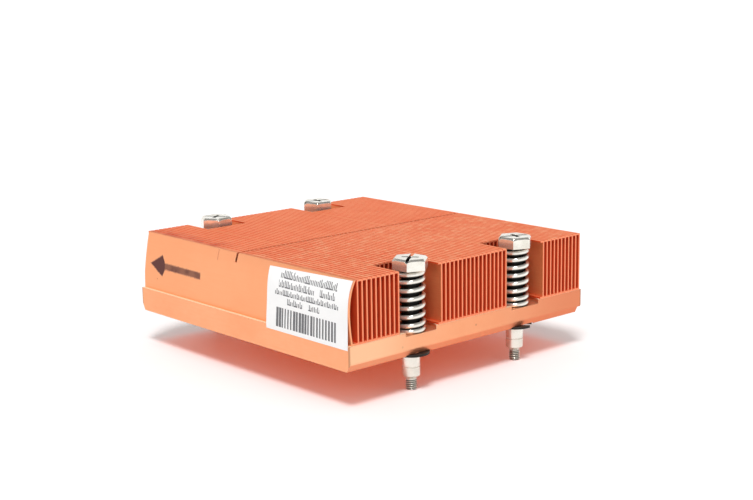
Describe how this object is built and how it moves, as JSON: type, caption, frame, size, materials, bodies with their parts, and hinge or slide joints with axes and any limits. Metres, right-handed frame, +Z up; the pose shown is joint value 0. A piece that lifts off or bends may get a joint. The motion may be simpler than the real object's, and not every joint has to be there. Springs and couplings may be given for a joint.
{
  "type": "passive server cpu heatsink",
  "caption": "Copper heatsink for a rack server processor: a thick base plate with a soldered stack of folded fins, held down by captive spring screws.",
  "frame": {"origin": "centre of the contact face under the base plate", "axes": "+X along the fins from the front end to the rear end, +Y across the fins from the label side to the plain side, +Z up from the processor to the fin tops"},
  "size_m": [0.0906, 0.084, 0.0337],
  "materials": {
    "base_copper": "satin",
    "fin_copper": "satin",
    "label_paper": "matte",
    "screw_nickel": "polished",
    "spring_nickel": "polished",
    "ring_black": "satin"
  },
  "bodies": {
    "heatsink": {"base_plate": "base_copper", "end_plate": "fin_copper", "paper_label": "label_paper", "label_bank_fin_01": "fin_copper", "label_bank_fin_02": "fin_copper", "label_bank_fin_03": "fin_copper", "label_bank_fin_04": "fin_copper", "label_bank_fin_05": "fin_copper", "label_bank_fin_06": "fin_copper", "label_bank_fin_07": "fin_copper", "label_bank_fin_08": "fin_copper", "label_bank_fin_09": "fin_copper", "label_bank_fin_10": "fin_copper", "label_notch_fins": "fin_copper", "middle_bank_fin_01": "fin_copper", "middle_bank_fin_02": "fin_copper", "middle_bank_fin_03": "fin_copper", "middle_bank_fin_04": "fin_copper", "middle_bank_fin_05": "fin_copper", "middle_bank_fin_06": "fin_copper", "middle_bank_fin_07": "fin_copper", "middle_bank_fin_08": "fin_copper", "middle_bank_fin_09": "fin_copper", "middle_bank_fin_10": "fin_copper", "middle_bank_fin_11": "fin_copper", "middle_bank_fin_12": "fin_copper", "middle_bank_fin_13": "fin_copper", "middle_bank_fin_14": "fin_copper", "middle_bank_fin_15": "fin_copper", "middle_bank_fin_16": "fin_copper", "middle_bank_fin_17": "fin_copper", "plain_notch_fins": "fin_copper", "plain_bank_fin_01": "fin_copper", "plain_bank_fin_02": "fin_copper", "plain_bank_fin_03": "fin_copper", "plain_bank_fin_04": "fin_copper", "plain_bank_fin_05": "fin_copper", "plain_bank_fin_06": "fin_copper", "plain_bank_fin_07": "fin_copper", "plain_bank_fin_08": "fin_copper", "plain_bank_fin_09": "fin_copper", "plain_bank_fin_10": "fin_copper", "plain_bank_fin_11": "fin_copper", "screw_spring_front_label_side": "spring_nickel", "screw_spring_rear_label_side": "spring_nickel", "screw_spring_front_plain_side": "spring_nickel", "screw_spring_rear_plain_side": "spring_nickel"},
    "ring_front_label_side": {"retaining_ring_front_label_side": "ring_black"},
    "screw_front_label_side": {"captive_screw_front_label_side": "screw_nickel"},
    "ring_rear_label_side": {"retaining_ring_rear_label_side": "ring_black"},
    "screw_rear_label_side": {"captive_screw_rear_label_side": "screw_nickel"},
    "ring_front_plain_side": {"retaining_ring_front_plain_side": "ring_black"},
    "screw_front_plain_side": {"captive_screw_front_plain_side": "screw_nickel"},
    "ring_rear_plain_side": {"retaining_ring_rear_plain_side": "ring_black"},
    "screw_rear_plain_side": {"captive_screw_rear_plain_side": "screw_nickel"}
  },
  "joints": [
    {"name": "screw_push_front_label_side", "type": "slide", "parent": "heatsink", "child": "ring_front_label_side", "axis": [0, 0, -1], "range_m": [0, 0.004], "stiffness_N_per_m": 2000, "springref_m": -0.0005, "deforming": ["screw_spring_front_label_side"]},
    {"name": "screw_turn_front_label_side", "type": "hinge", "parent": "ring_front_label_side", "child": "screw_front_label_side", "pos_m": [-0.04065, -0.01844, 0], "axis": [0, 0, -1], "continuous": true},
    {"name": "screw_push_rear_label_side", "type": "slide", "parent": "heatsink", "child": "ring_rear_label_side", "axis": [0, 0, -1], "range_m": [0, 0.004], "stiffness_N_per_m": 2000, "springref_m": -0.0005, "deforming": ["screw_spring_rear_label_side"]},
    {"name": "screw_turn_rear_label_side", "type": "hinge", "parent": "ring_rear_label_side", "child": "screw_rear_label_side", "pos_m": [0.04065, -0.01844, 0], "axis": [0, 0, -1], "continuous": true},
    {"name": "screw_push_front_plain_side", "type": "slide", "parent": "heatsink", "child": "ring_front_plain_side", "axis": [0, 0, -1], "range_m": [0, 0.004], "stiffness_N_per_m": 2000, "springref_m": -0.0005, "deforming": ["screw_spring_front_plain_side"]},
    {"name": "screw_turn_front_plain_side", "type": "hinge", "parent": "ring_front_plain_side", "child": "screw_front_plain_side", "pos_m": [-0.04065, 0.01939, 0], "axis": [0, 0, -1], "continuous": true},
    {"name": "screw_push_rear_plain_side", "type": "slide", "parent": "heatsink", "child": "ring_rear_plain_side", "axis": [0, 0, -1], "range_m": [0, 0.004], "stiffness_N_per_m": 2000, "springref_m": -0.0005, "deforming": ["screw_spring_rear_plain_side"]},
    {"name": "screw_turn_rear_plain_side", "type": "hinge", "parent": "ring_rear_plain_side", "child": "screw_rear_plain_side", "pos_m": [0.04065, 0.01939, 0], "axis": [0, 0, -1], "continuous": true}
  ]
}
